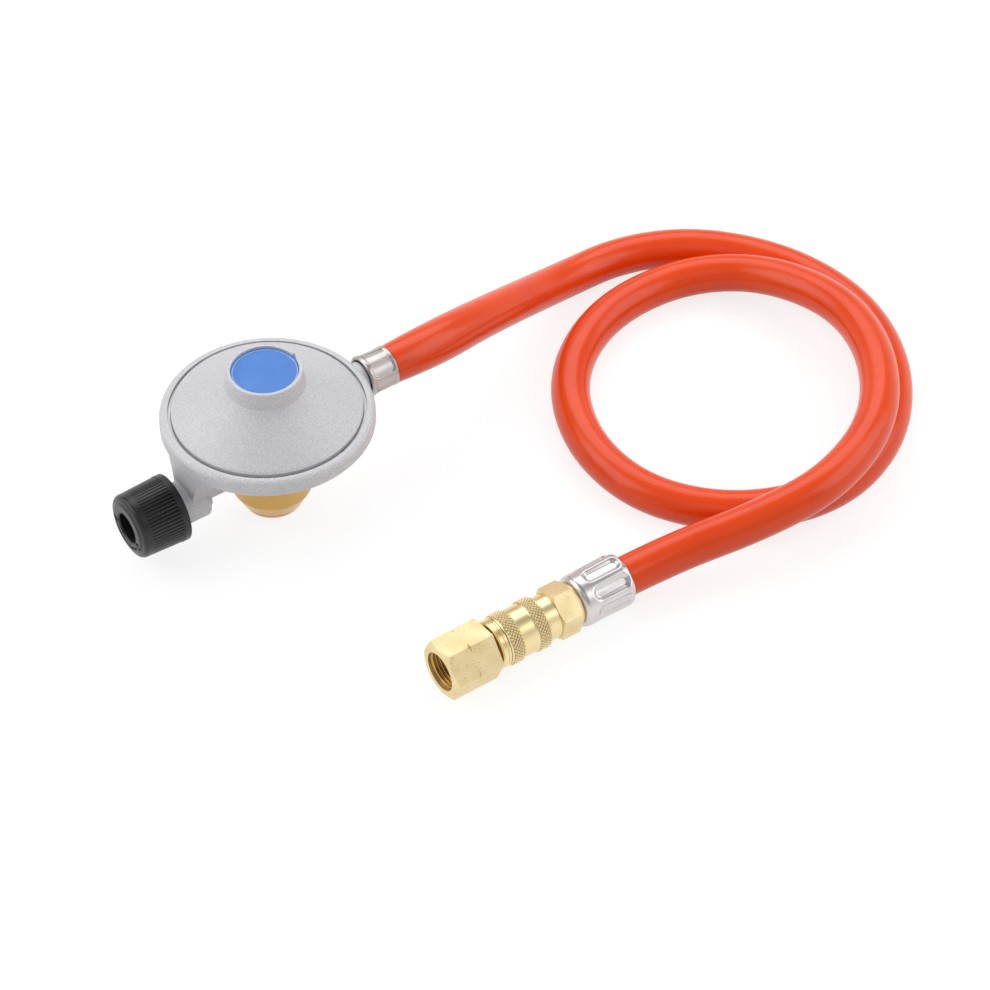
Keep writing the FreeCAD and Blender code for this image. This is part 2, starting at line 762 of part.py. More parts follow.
# --- cover and what it closes ---------------------------------------------------------------
def make_cover():
    flange = "rim_bore - wall_gap"
    cover = turned("cover", "Z", [
        (flange, "cover_low"),
        (flange, "cover_flange_top"),
        ("cover_radius", "cover_flange_top"),
        ("cover_radius", "cover_edge - cover_edge_bevel"),
        ("cover_radius - cover_edge_bevel", "cover_edge"),
        ("boss_base_radius", "boss_base"),
        ("boss_top_radius", "boss_top"),
        ("label_radius + wall_gap", "boss_top"),
        ("label_radius + wall_gap", "label_level"),
        ("boss_bore_radius", "label_level"),
        ("boss_bore_radius",
         "boss_base - cover_wall + (boss_base_radius - boss_bore_radius) * cone_slope"),
        ("ledge_bore", "cover_edge - cover_wall + (cover_radius - ledge_bore) * cone_slope"),
        ("ledge_bore", "cover_low"),
    ])
    rounded(cover, "boss_rounding", lambda edge: is_circle(
        edge, size("boss_top_radius"), Vector(0, 0, 1), size("boss_top")))
    notch = block("label_notch", "boss_base_radius", "label_tab_width + 2 * wall_gap",
                  "label_depth + label_thickness + 1", "label_radius - 2",
                  "-label_tab_width / 2 - wall_gap", "label_level")
    keep("cover_casting", cut("cover_notched", cover, [notch]))


def make_retaining_ring():
    low = "ring_level + wall_gap"
    ring = turned("ring", "Z", [
        ("ring_bore", low),
        ("groove_radius - 2 * wall_gap", low),
        ("groove_radius - 2 * wall_gap", "ring_level + ring_thickness"),
        ("ring_bore", "ring_level + ring_thickness"),
    ])
    gap = block("ring_split", "8", "ring_gap", "ring_thickness + 2", "0", "0", "ring_level - 1")
    gap.setExpression("Placement.Base.x", bound("(ring_bore - 2) * cos(ring_gap_angle)"))
    gap.setExpression("Placement.Base.y", bound("(ring_bore - 2) * sin(ring_gap_angle)"))
    gap.setExpression("Placement.Rotation.Angle", bound("ring_gap_angle"))
    keep("retaining_ring", cut("ring_open", ring, [gap]))


def make_label_disc():
    disc = cylinder("disc", "label_radius", "label_thickness", up="label_level")
    tab = block("disc_tab", "label_tab_reach + 2", "label_tab_width", "label_thickness",
                "label_radius - 2", "-label_tab_width / 2", "label_level")
    keep("label_disc", fused("disc_with_tab", [disc, tab]))


def make_adjuster():
    disc = turned("adjuster", "Z", [
        ("0", "adjuster_low"),
        ("boss_bore_radius - wall_gap", "adjuster_low"),
        ("boss_bore_radius - wall_gap", "adjuster_top"),
        ("0", "adjuster_top"),
    ])
    socket = doc.addObject("Part::Prism", "adjuster_socket")
    socket.Polygon = 6
    socket.setExpression("Circumradius", bound("adjuster_socket_radius"))
    socket.setExpression("Height", bound("adjuster_thickness"))
    place(socket, up="(adjuster_low + adjuster_top) / 2")
    keep("adjusting_disc", cut("adjuster_with_socket", disc, [socket]))


# --- diaphragm, lever and jet ---------------------------------------------------------------
def make_diaphragm():
    keep("diaphragm", turned("membrane", "Z", [
        ("stem_radius + wall_gap", "diaphragm_low"),
        ("plate_radius + 2", "diaphragm_low"),
        ("plate_radius + 4", "diaphragm_low - convolution_depth"),
        ("ledge_bore - 3", "diaphragm_low - convolution_depth"),
        ("ledge_bore - 0.3", "diaphragm_low"),
        ("rim_bore - 0.2", "diaphragm_low"),
        ("rim_bore - 0.2", "diaphragm_top"),
        ("ledge_bore - 0.7", "diaphragm_top"),
        ("ledge_bore - 3.4", "diaphragm_top - convolution_depth"),
        ("plate_radius + 4.4", "diaphragm_top - convolution_depth"),
        ("plate_radius + 2.4", "diaphragm_top"),
        ("stem_radius + wall_gap", "diaphragm_top"),
    ]))
    keep("diaphragm_plate", turned("plate", "Z", [
        ("stem_radius + wall_gap", "plate_low"),
        ("plate_radius", "plate_low"),
        ("plate_radius", "plate_top + plate_lip"),
        ("plate_radius - 1", "plate_top + plate_lip"),
        ("plate_radius - 1", "plate_top"),
        ("stem_radius + wall_gap", "plate_top"),
    ]))
    fork_low = "lever_low - stem_play"
    fork_high = "lever_high + stem_play"
    stem_top = "plate_top + stem_nut_height + 0.5"
    keep("diaphragm_stem", turned("stem", "Z", [
        ("0", fork_low + " - stem_head_height"),
        ("stem_head_radius", fork_low + " - stem_head_height"),
        ("stem_head_radius", fork_low),
        ("stem_neck_radius", fork_low),
        ("stem_neck_radius", fork_high),
        ("stem_head_radius", fork_high),
        ("stem_head_radius", "diaphragm_low - 1 - wall_gap"),
        ("stem_collar_radius", "diaphragm_low - 1 - wall_gap"),
        ("stem_collar_radius", "diaphragm_low - wall_gap"),
        ("stem_radius", "diaphragm_low - wall_gap"),
        ("stem_radius", stem_top),
        ("0", stem_top),
    ]))
    nut = doc.addObject("Part::Prism", "stem_nut_bar")
    nut.Polygon = 6
    nut.setExpression("Circumradius", bound("stem_nut_radius"))
    nut.setExpression("Height", bound("stem_nut_height"))
    place(nut, up="plate_top + wall_gap")
    hole = cylinder("stem_nut_hole", "stem_radius + wall_gap", "stem_nut_height + 2",
                    up="plate_top - 1")
    keep("stem_nut", cut("stem_nut_bored", nut, [hole]))
    seat = size("plate_top") + size("wall_gap")
    coil("main_spring", size("main_spring_radius"), size("main_spring_wire"),
         size("adjuster_low") - seat, size("main_spring_turns"), Rotation(), Vector(0, 0, seat))


def make_lever():
    bar = block("lever_bar", "jet_offset + valve_pad_radius + stem_head_radius",
                "2 * lever_half_width", "lever_thickness", "-jet_offset - valve_pad_radius",
                "-lever_half_width", "lever_low")
    boss = cylinder("lever_boss", "lever_boss_radius", "2 * lever_half_width", ALONG_Y,
                    "-lever_pivot", "-lever_half_width", "lever_level")
    bore = cylinder("lever_bore", "lever_pin_radius + wall_gap", "2 * lever_half_width + 2",
                    ALONG_Y, "-lever_pivot", "-lever_half_width - 1", "lever_level")
    fork = block("lever_fork", "stem_neck_radius + stem_head_radius + 2",
                 "2 * stem_neck_radius + 0.5", "lever_thickness + 2",
                 "-stem_neck_radius - 0.4", "-stem_neck_radius - 0.25", "lever_low - 1")
    keep("lever", cut("lever_forked", fused("lever_blank", [bar, boss]), [bore, fork]))
    keep("valve_pad", cylinder("pad", "valve_pad_radius", "valve_pad_thickness", None,
                               "-jet_offset", "0", "lever_low - valve_pad_thickness"))
    keep("lever_pin", cylinder("pin_rod", "lever_pin_radius", "2 * ear_reach", ALONG_Y,
                               "-lever_pivot", "-ear_reach", "lever_level"))
    shoulder = "floor_level + jet_flange_height"
    keep("inlet_jet", place(turned("jet", "Z", [
        ("jet_bore_radius", "floor_level - jet_depth"),
        ("jet_shank_radius", "floor_level - jet_depth"),
        ("jet_shank_radius", "floor_level + wall_gap"),
        ("jet_flange_radius", "floor_level + wall_gap"),
        ("jet_flange_radius", shoulder),
        ("jet_tip_radius + 0.5", shoulder),
        ("jet_tip_radius", "jet_tip"),
        ("jet_bore_radius", "jet_tip"),
    ]), along="-jet_offset"))


# --- tap ------------------------------------------------------------------------------------
def make_tap():
    carrier_end = "carrier_low + carrier_length"
    keep("tap_pad", place(turned("tap_carrier", "X", [
        ("carrier_low", "0"),
        ("carrier_low", "carrier_radius"),
        (carrier_end, "carrier_radius"),
        (carrier_end, "spindle_nose_radius + running_gap"),
        ("carrier_bore_end", "spindle_nose_radius + running_gap"),
        ("carrier_bore_end", "0"),
    ]), up="tap_level", turn=TO_TAP))
    nose = "carrier_bore_end + carrier_travel + running_gap"
    keep("tap_spindle", place(turned("spindle", "X", [
        (nose, "0"),
        (nose, "spindle_nose_radius"),
        ("chamber_face + running_gap", "spindle_nose_radius"),
        ("chamber_face + running_gap", "bearing_radius - running_gap"),
        ("gland_face - 2 * running_gap", "bearing_radius - running_gap"),
        ("gland_face - 2 * running_gap", "spindle_radius"),
        ("spindle_end", "spindle_radius"),
        ("spindle_end", "knob_screw_radius"),
        ("spindle_end - knob_screw_length", "knob_screw_radius"),
        ("spindle_end - knob_screw_length", "0"),
    ]), up="tap_level", turn=TO_TAP))
    ring = doc.addObject("Part::Torus", "gland_ring")
    ring.setExpression("Radius1", bound("spindle_radius + running_gap + gland_wire"))
    ring.setExpression("Radius2", bound("gland_wire"))
    keep("spindle_seal", place(ring, "-gland_face - gland_wire - wall_gap", "0", "tap_level",
                               ALONG_X))
    nut_end = "gland_nut_face + gland_nut_length"
    keep("gland_nut", place(turned("gland", "X", [
        ("gland_nut_face", "spindle_radius + running_gap"),
        ("gland_nut_face", "gland_radius - wall_gap"),
        (nut_end, "gland_radius - wall_gap"),
        (nut_end, "spindle_radius + running_gap"),
    ]), up="tap_level", turn=TO_TAP))
    make_knob()
    head = "knob_floor + knob_screw_head_height"
    keep("knob_screw", place(turned("screw", "X", [
        ("knob_floor - knob_screw_length + 0.3", "0"),
        ("knob_floor - knob_screw_length + 0.3", "knob_screw_radius"),
        ("knob_floor", "knob_screw_radius"),
        ("knob_floor", "knob_screw_head_radius"),
        (head, "knob_screw_head_radius - 0.4"),
        (head, "0"),
    ]), up="tap_level", turn=TO_TAP))


def make_knob():
    flange = "knob_rear + knob_flange_length"
    knob = turned("knob", "X", [
        ("knob_rear", "knob_cavity_radius"),
        ("knob_rear", "knob_rear_radius"),
        (flange, "knob_rear_radius"),
        (flange, "knob_rear_radius - knob_flange_step"),
        ("knob_front", "knob_front_radius"),
        ("knob_front", "knob_recess_radius"),
        ("knob_floor", "knob_recess_radius"),
        ("knob_floor", "knob_screw_radius + 0.1"),
        ("spindle_end", "knob_screw_radius + 0.1"),
        ("spindle_end", "spindle_radius"),
        ("knob_rear + knob_cavity_depth", "spindle_radius"),
        ("knob_rear + knob_cavity_depth", "knob_cavity_radius"),
    ])
    rounded(knob, "knob_rounding", lambda edge: is_circle(
        edge, size("knob_front_radius"), Vector(1, 0, 0), size("knob_front")))
    solid = knob.Tip
    groove = outline(knob, "grip_groove", "YZ_Plane", [
        ("-knob_groove_width / 2", "knob_rear_radius + 0.5"),
        ("knob_groove_width / 2", "knob_rear_radius + 0.5"),
        ("0", "knob_front_radius - knob_groove_depth"),
    ], flange + " + 0.3")
    slot = knob.newObject("PartDesign::Pocket", "grip_slot")
    slot.Profile = groove
    slot.Reversed = True
    slot.setExpression("Length", bound("knob_groove_length"))
    doc.recompute()
    grip = knob.newObject("PartDesign::PolarPattern", "grip")
    grip.Originals = [slot]
    grip.Axis = (groove, ["N_Axis"])
    grip.Angle = 360
    grip.setExpression("Occurrences", bound("knob_grooves"))
    knob.Tip = grip
    doc.recompute()
    mark = outline(knob, "turn_mark", "XY_Plane", [
        ("knob_front - knob_mark_depth", "knob_mark_radius"),
        ("knob_front + 1", "knob_mark_radius"),
        ("knob_front + 1", "knob_mark_radius + knob_mark_width"),
        ("knob_front - knob_mark_depth", "knob_mark_radius + knob_mark_width"),
    ])
    arc = knob.newObject("PartDesign::Groove", "turn_arc")
    arc.Profile = mark
    arc.ReferenceAxis = (mark, ["H_Axis"])
    arc.Midplane = True
    arc.setExpression("Angle", bound("knob_mark_sweep"))
    knob.Tip = arc
    doc.recompute()
    if not knob.Shape.Volume < solid.Shape.Volume:
        raise ValueError("the knob's grooves cut nothing")
    turn = TO_TAP.multiply(Rotation(Vector(1, 0, 0), size("knob_mark_turn")))
    keep("tap_knob", place(knob, up="tap_level", turn=turn))


# --- ferrules -------------------------------------------------------------------------------
def crimped(name, points, start, radius, length, width, depth):
    """A turned ferrule with a ring of pressed hollows."""
    ferrule = turned(name, "X", points)
    base = ferrule.Shape.Volume
    hollow = outline(ferrule, name + "_crimp", "XY_Plane", [
        (start, "-(%s) / 2 + 1" % width),
        (start + " + 1", "-(%s) / 2" % width),
        ("%s + %s - 1" % (start, length), "-(%s) / 2" % width),
        ("%s + %s" % (start, length), "-(%s) / 2 + 1" % width),
        ("%s + %s" % (start, length), "(%s) / 2 - 1" % width),
        ("%s + %s - 1" % (start, length), "(%s) / 2" % width),
        (start + " + 1", "(%s) / 2" % width),
        (start, "(%s) / 2 - 1" % width),
    ], "%s - %s" % (radius, depth))
    press = ferrule.newObject("PartDesign::Pocket", name + "_press")
    press.Profile = hollow
    press.Reversed = True
    press.Length = 5
    doc.recompute()
    ring = ferrule.newObject("PartDesign::PolarPattern", name + "_ring")
    ring.Originals = [press]
    ring.Axis = (origin_item(ferrule, "X_Axis"), [""])
    ring.Angle = 360
    ring.setExpression("Occurrences", bound("crimps"))
    ferrule.Tip = ring
    doc.recompute()
    if not ferrule.Shape.Volume < base:
        raise ValueError(name + " has no crimps")
    return ferrule


def make_outlet_ferrule():
    narrow = "ferrule_radius - ferrule_taper"
    keep("ferrule_regulator", place(crimped("outlet_ferrule", [
        ("ferrule_low", "ferrule_bore"),
        ("ferrule_low", "ferrule_radius"),
        ("ferrule_high", narrow),
        ("ferrule_high", "ferrule_bore"),
    ], "ferrule_low + (ferrule_length - crimp_length) / 2", narrow, "crimp_length",
        "crimp_width", "crimp_depth"), up="outlet_level"))


def make_coupling_ferrule():
    start = "end_ferrule_face"
    end = start + " + coupling_ferrule_length"
    wall = start + " + coupling_ferrule_end_wall"
    bevel = "coupling_ferrule_rounding"
    ferrule = crimped("coupling_ferrule", [
        (start, "tail_core + running_gap"),
        (start, "end_ferrule_radius - " + bevel),
        (start + " + 0.35 * " + bevel, "end_ferrule_radius - 0.4 * " + bevel),
        (start + " + " + bevel, "end_ferrule_radius"),
        (end + " - 2", "end_ferrule_radius"),
        (end, "end_ferrule_radius - coupling_ferrule_taper"),
        (end, "hose_radius"),
        (wall, "hose_radius"),
        (wall, "tail_core + running_gap"),
    ], start + " + " + bevel + " + 0.8", "end_ferrule_radius", "coupling_crimp_length",
        "coupling_crimp_width", "coupling_crimp_depth")
    keep("ferrule_coupling", in_coupling(ferrule))


# --- hose -----------------------------------------------------------------------------------
def route_wire(points):
    """Straight runs joined by tangent arcs, each as large as its two runs allow."""
    edges = []
    radii = []
    here = points[0]
    for before, corner, after in zip(points, points[1:], points[2:]):
        back = before - corner
        ahead = after - corner
        half_turn = (math.pi - back.getAngle(ahead)) / 2
        reach = 0.45 * min(back.Length, ahead.Length)
        radii.append(reach / math.tan(half_turn))
        back.normalize()
        ahead.normalize()
        first = corner + back * reach
        last = corner + ahead * reach
        to_middle = back + ahead
        to_middle.normalize()
        depth = radii[-1] * (1 / math.cos(half_turn) - 1)
        edges.append(Part.LineSegment(here, first).toShape())
        edges.append(Part.Arc(first, corner + to_middle * depth, last).toShape())
        here = last
    edges.append(Part.LineSegment(here, points[-1]).toShape())
    return Part.Wire(edges), radii


def make_hose():
    radius = size("hose_radius")
    outlet = size("ferrule_low") + 4 * size("wall_gap")
    ferrule_end = size("ferrule_high")
    ferrule_start = size("coupling_x") + size("end_ferrule_face") \
        + size("coupling_ferrule_end_wall") + 4 * size("wall_gap")
    level = size("outlet_level")
    across = size("coupling_y")
    height = size("coupling_height")
    start = Vector(ferrule_end, 0, level)
    middle = [Vector(*point) for point in HOSE_ROUTE]
    straight = Vector(ferrule_start + size("coupling_run"), across, height)
    end = Vector(ferrule_start, across, height)
    wire, radii = route_wire([start] + middle + [straight, end])
    section = Part.Wire(Part.makeCircle(radius, start, Vector(1, 0, 0)))
    tube = wire.makePipeShell([section], True, False)
    expected = math.pi * radius ** 2 * wire.Length
    print("hose radii: " + " ".join("%.0f" % r for r in radii))
    print("hose length %.1f, volume %.0f of %.0f" % (wire.Length + ferrule_end - outlet,
                                                     tube.Volume, expected))
    crimped_end = Part.makeCylinder(size("ferrule_bore"), ferrule_end - outlet,
                                    Vector(outlet, 0, level), Vector(1, 0, 0))
    bore = size("tail_crest") + size("wall_gap")
    tail_end = size("outlet_face") + size("tail_length") + 0.5
    first_bore = Part.makeCylinder(bore, tail_end - outlet + 1, Vector(outlet - 1, 0, level),
                                   Vector(1, 0, 0))
    last_bore = Part.makeCylinder(bore, size("tail_length") + 1.5,
                                  Vector(ferrule_start - 1, across, height), Vector(1, 0, 0))
    hose = tube.fuse(crimped_end).cut(first_bore).cut(last_bore)
    piece = doc.addObject("Part::Feature", "hose_tube")
    piece.Shape = hose.Solids[0] if len(hose.Solids) == 1 else hose
    keep("hose", piece)


# --- coupling -------------------------------------------------------------------------------
def in_coupling(piece, turn=None):
    """Put a piece made along X from the nut's face onto the coupling's line."""
    return place(piece, "coupling_x", "coupling_y", "coupling_height", turn)


def make_plug_nut():
    corner = "nut_flats / sqrt(3)"
    middle = "nut_length / 2"
    barrel = turned("nut_barrel", "X", [
        ("0", "appliance_bore_radius"),
        ("0", "nut_flats / 2 - 0.3"),
        ("nut_chamfer", corner + " + 0.1"),
        (middle + " - nut_nick_half_width", corner + " + 0.1"),
        (middle, corner + " - nut_nick_depth"),
        (middle + " + nut_nick_half_width", corner + " + 0.1"),
        ("nut_length", corner + " + 0.1"),
        ("nut_length", "plug_bore_radius"),
        ("appliance_bore_depth + 1.5", "plug_bore_radius"),
        ("appliance_bore_depth", "appliance_bore_radius"),
    ])
    nut = hexagonal("nut_hex", barrel, "nut_flats", "nut_length", "0", size("nut_turn"))
    nipple = turned("nipple", "X", [
        ("nut_length", "plug_bore_radius"),
        ("nut_length", "plug_radius"),
        ("ball_face - 1.2 * ball_radius", "plug_radius"),
        ("ball_face - 0.8 * ball_radius", "plug_groove"),
        ("ball_face + 0.8 * ball_radius", "plug_groove"),
        ("ball_face + 1.2 * ball_radius", "plug_radius"),
        ("nose_step", "plug_radius"),
        ("nose_step + 1", "plug_nose_radius"),
        ("plug_nose", "plug_nose_radius"),
        ("plug_nose", "plug_bore_radius"),
    ])
    keep("plug_nut", in_coupling(fused("plug", [nut, nipple])))


def make_stop_ring():
    inner = "plug_radius + stop_ring_bore_gap"
    end = "stop_face + stop_ring_length"
    keep("sleeve_stop_ring", in_coupling(turned("stop_ring", "X", [
        ("stop_face", inner),
        ("stop_face", "stop_ring_radius - 0.5"),
        ("stop_face + 0.5", "stop_ring_radius"),
        (end + " - 1.2", "stop_ring_radius"),
        (end + " - 1", "stop_ring_radius - 0.35"),
        (end + " - 0.8", "stop_ring_radius"),
        (end, "stop_ring_radius"),
        (end, "socket_radius + wall_gap"),
        ("stop_face + stop_ring_wall", "socket_radius + wall_gap"),
        ("stop_face + stop_ring_wall", inner),
    ])))


def make_sleeve():
    run = "socket_radius + running_gap"
    keep("coupling_sleeve", in_coupling(turned("sleeve", "X", [
        ("sleeve_face", run),
        ("sleeve_face", "sleeve_radius - 0.3"),
        ("sleeve_face + 0.3", "sleeve_radius"),
        ("sleeve_face + sleeve_band - 0.4", "sleeve_radius"),
        ("sleeve_face + sleeve_band", "sleeve_waist"),
        ("sleeve_end - sleeve_band", "sleeve_waist"),
        ("sleeve_end - sleeve_band + 0.4", "sleeve_radius"),
        ("sleeve_end - 0.3", "sleeve_radius"),
        ("sleeve_end", "sleeve_radius - 0.3"),
        ("sleeve_end", "sleeve_relief_radius"),
        ("land_end", "sleeve_relief_radius"),
        ("land_end", run),
        ("land_face", run),
        ("land_face", "sleeve_relief_radius"),
        ("relief_face", "sleeve_relief_radius"),
        ("relief_face", run),
    ])))


def make_socket():
    deep = "plug_nose + 0.4"
    body = turned("socket", "X", [
        ("socket_face", "plug_radius + running_gap"),
        ("socket_face", "socket_radius"),
        ("sleeve_end", "socket_radius"),
        ("sleeve_end", "socket_rear_radius"),
        ("socket_end", "socket_rear_radius"),
        ("socket_end", "valve_chamber_radius"),
        (deep, "valve_chamber_radius"),
        (deep, "plug_nose_radius + running_gap"),
        ("seal_end", "plug_nose_radius + running_gap"),
        ("seal_end", "seal_radius"),
        ("seal_face", "seal_radius"),
        ("seal_face", "plug_radius + running_gap"),
    ])
    drills = []
    for index in range(int(size("balls"))):
        drill = cylinder("ball_hole_%d" % index, "ball_radius + running_gap", "sleeve_radius",
                         Rotation(Vector(1, 0, 0), 360.0 * index / size("balls")), "ball_face")
        drills.append(drill)
    keep("coupling_socket", in_coupling(cut("socket_drilled", body, drills)))
    seal = doc.addObject("Part::Torus", "plug_ring")
    seal.setExpression("Radius1", bound("plug_nose_radius + running_gap + seal_wire"))
    seal.setExpression("Radius2", bound("seal_wire"))
    keep("plug_seal", place(seal, "coupling_x + (seal_face + seal_end) / 2", "coupling_y",
                            "coupling_height", ALONG_X))
    reach = size("socket_radius") - size("ball_radius") - size("running_gap")
    spheres = []
    for index in range(int(size("balls"))):
        angle = 2 * math.pi * index / size("balls")
        spheres.append(Part.makeSphere(size("ball_radius"), Vector(
            0, -reach * math.sin(angle), reach * math.cos(angle))))
    balls = doc.addObject("Part::Feature", "ball_set")
    balls.Shape = Part.makeCompound(spheres)
    keep("locking_balls", place(balls, "coupling_x + ball_face", "coupling_y", "coupling_height"))


def make_coupling_tail():
    bore = "tail_bore_radius"
    face = "socket_end + wall_gap"
    spigot = "socket_end - tail_spigot_length"
    corner = "tail_hex_flats / sqrt(3)"
    ring = turned("tail_ring", "X", [
        (face, bore),
        (face, "tail_hex_flats / 2"),
        ("socket_end + tail_hex_chamfer", corner),
        ("hex_end - tail_hex_chamfer", corner),
        ("hex_end", "tail_hex_flats / 2"),
        ("hex_end", bore),
    ])
    hexagon = hexagonal("tail_hex", ring, "tail_hex_flats", "hex_end", "0", size("tail_hex_turn"))
    solid = tail_outline("coupling_barbs", "hex_end", "tail_neck_radius",
                         "end_ferrule_face - wall_gap", "tail_length")
    drill = cylinder("coupling_tail_bore", bore, "tail_length + 30", ALONG_X, "socket_end")
    barbs = cut("coupling_barbs_bored", solid, [drill])
    screwed = turned("tail_spigot", "X", [
        (spigot, "valve_chamber_radius - 1.6"),
        (spigot, "valve_chamber_radius - wall_gap"),
        (face, "valve_chamber_radius - wall_gap"),
        (face, bore),
        ("socket_end - 1", bore),
        ("socket_end - 1", "valve_chamber_radius - 1.6"),
    ])
    keep("coupling_tail", in_coupling(fused("coupling_tail_whole", [hexagon, barbs, screwed])))


def make_valve():
    stem_end = "poppet_face + poppet_length"
    keep("valve_poppet", in_coupling(turned("poppet", "X", [
        ("poppet_face", "0"),
        ("poppet_face", "poppet_radius - 1.4"),
        ("poppet_face + 0.6", "poppet_radius"),
        ("poppet_seat", "poppet_radius"),
        ("poppet_seat", "poppet_guide_radius"),
        (stem_end, "poppet_guide_radius"),
        (stem_end, "0"),
    ])))
    origin = size("coupling_x")
    across = size("coupling_y")
    height = size("coupling_height")
    head = size("poppet_seat") + size("wall_gap")
    coil("poppet_spring", size("poppet_guide_radius") + 0.2 + size("poppet_spring_wire"),
         size("poppet_spring_wire"), size("socket_end") - 1.1 - head, size("poppet_spring_turns"),
         ALONG_X, Vector(origin + head, across, height))
    land = size("land_end") + 0.1
    middle = (size("socket_radius") + size("sleeve_relief_radius")) / 2
    coil("sleeve_spring", middle, size("sleeve_spring_wire"), size("sleeve_end") - 0.1 - land,
         size("sleeve_spring_turns"), ALONG_X, Vector(origin + land, across, height))


make_connector()
make_body_casting()
make_cover()
make_retaining_ring()
make_label_disc()
make_adjuster()
make_diaphragm()
make_lever()
make_tap()
make_outlet_ferrule()
make_coupling_ferrule()
make_hose()
make_plug_nut()
make_stop_ring()
make_sleeve()
make_socket()
make_coupling_tail()
make_valve()
doc.recompute()

for item in doc.Objects:
    if "Invalid" in item.State or "Error" in item.State:
        raise ValueError("%s did not rebuild: %s" % (item.Name, item.State))

os.makedirs("parts", exist_ok=True)
for node, piece in NODES.items():
    shape = piece.Shape
    if shape.isNull() or not shape.isValid() or not shape.Solids:
        raise ValueError(node + " is not a valid solid")
    shape.exportStep(os.path.join("parts", node + ".step"))
    print("%-20s solids %d volume %.0f" % (node, len(shape.Solids), shape.Volume))
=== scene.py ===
import bpy, bmesh, math
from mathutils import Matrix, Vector


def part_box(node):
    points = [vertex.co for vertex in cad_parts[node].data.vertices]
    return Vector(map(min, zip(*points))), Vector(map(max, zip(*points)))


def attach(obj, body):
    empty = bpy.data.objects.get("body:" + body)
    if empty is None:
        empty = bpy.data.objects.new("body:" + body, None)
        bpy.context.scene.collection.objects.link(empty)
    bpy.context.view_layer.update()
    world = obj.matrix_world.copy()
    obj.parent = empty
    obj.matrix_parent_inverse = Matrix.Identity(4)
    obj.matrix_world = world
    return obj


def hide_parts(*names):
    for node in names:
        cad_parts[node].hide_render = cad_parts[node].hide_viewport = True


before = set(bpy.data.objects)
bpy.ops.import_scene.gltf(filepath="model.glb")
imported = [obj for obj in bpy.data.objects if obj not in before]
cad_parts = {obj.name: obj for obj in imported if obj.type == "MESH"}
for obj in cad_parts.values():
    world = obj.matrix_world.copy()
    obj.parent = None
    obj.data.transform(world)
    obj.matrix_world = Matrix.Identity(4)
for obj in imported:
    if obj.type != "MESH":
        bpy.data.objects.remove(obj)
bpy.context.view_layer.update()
scene = bpy.context.scene
scene.view_settings.view_transform = "Standard"
MM = 0.001


def mm(x, y, z):
    return (x * MM, y * MM, z * MM)


# --- camera -----------------------------------------------------------------------------------
camera_data = bpy.data.cameras.new("camera")
camera_data.lens = 116.4
camera_data.sensor_width = 36
camera_data.clip_end = 20
camera = bpy.data.objects.new("camera", camera_data)
scene.collection.objects.link(camera)
camera.location = mm(-415.4, -737.0, 843.0)
aim = Vector(mm(68.15, -46.5, 0.0)) - Vector(camera.location)
camera.rotation_euler = aim.to_track_quat("-Z", "Y").to_euler()
scene.camera = camera

# --- places taken from the model --------------------------------------------------------------
nut_low, nut_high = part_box("plug_nut")
sleeve_low, sleeve_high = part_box("coupling_sleeve")
ferrule_low, ferrule_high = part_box("ferrule_regulator")
end_low, end_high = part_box("ferrule_coupling")
knob_low, knob_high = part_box("tap_knob")
AXIS_Y = (end_low[1] + end_high[1]) / 2
AXIS_Z = (end_low[2] + end_high[2]) / 2
OUT_Z = (ferrule_low[2] + ferrule_high[2]) / 2
TAP_Z = (knob_low[2] + knob_high[2]) / 2

# --- the hose: the same route as in the part's source ------------------------------------------
ROUTE = [
    (52.8, 0, 39), (70, 0, 39), (104, 11, 29), (152, 29, 9), (184, 30, 7.5), (213, 16, 7.5),
    (235, -14, 7.5), (241, -50, 7.5), (229, -85, 7.5), (203, -112.5, 7.5), (168, -124.5, 7.5),
    (132, -113, 7.5), (108.5, -85.5, 7.5), (106, -50, 7.5), (122, -16, 7.5), (154, 5, 7.5),
    (192, 7, 7.5), (218, -14, 13), (227.5, -51, 19.5), (218, -86, 22.8), (194.5, -115.5, 23.8),
    (161, -130, 22.8), (129.5, -127, 18), (92.1, -116.2, 11.5), (54.1, -116.2, 11.5),
]


def nurbs(name, points, radii):
    curve = bpy.data.curves.new(name, "CURVE")
    curve.dimensions = "3D"
    spline = curve.splines.new("NURBS")
    spline.points.add(len(points) - 1)
    for index, point in enumerate(points):
        spline.points[index].co = (*mm(*point), 1)
        spline.points[index].radius = radii[index]
    spline.order_u = 3
    spline.use_endpoint_u = True
    spline.resolution_u = 14
    return curve


# how much thicker the hose is at each point of the route: it swells behind the ferrule
SWELL = [1.0, 1.16, 1.04] + [1.0] * (len(ROUTE) - 3)
HOSE_RADIUS = 7.5
hose_curve = nurbs("hose_line", ROUTE, SWELL)
hose_line = bpy.data.objects.new("hose_line", hose_curve)
centres = bpy.data.meshes.new_from_object(hose_line)
bpy.data.meshes.remove(centres)
hose_curve.bevel_depth = HOSE_RADIUS * MM
hose_curve.bevel_resolution = 12
hose_curve.use_fill_caps = True
hose_mesh = bpy.data.meshes.new_from_object(hose_line)
hose_mesh.name = "orange_hose"
hose = bpy.data.objects.new("orange_hose", hose_mesh)
scene.collection.objects.link(hose)
bpy.data.objects.remove(hose_line)
bpy.data.curves.remove(hose_curve)
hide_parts("hose")
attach(hose, "regulator")


# --- shader helpers ---------------------------------------------------------------------------
def principled(name, **values):
    material = bpy.data.materials.new(name)
    material.use_nodes = True
    shader = material.node_tree.nodes["Principled BSDF"]
    for socket, value in values.items():
        shader.inputs[socket.replace("_", " ")].default_value = value
    return material, material.node_tree, shader


def link(tree, a, b):
    tree.links.new(a, b)


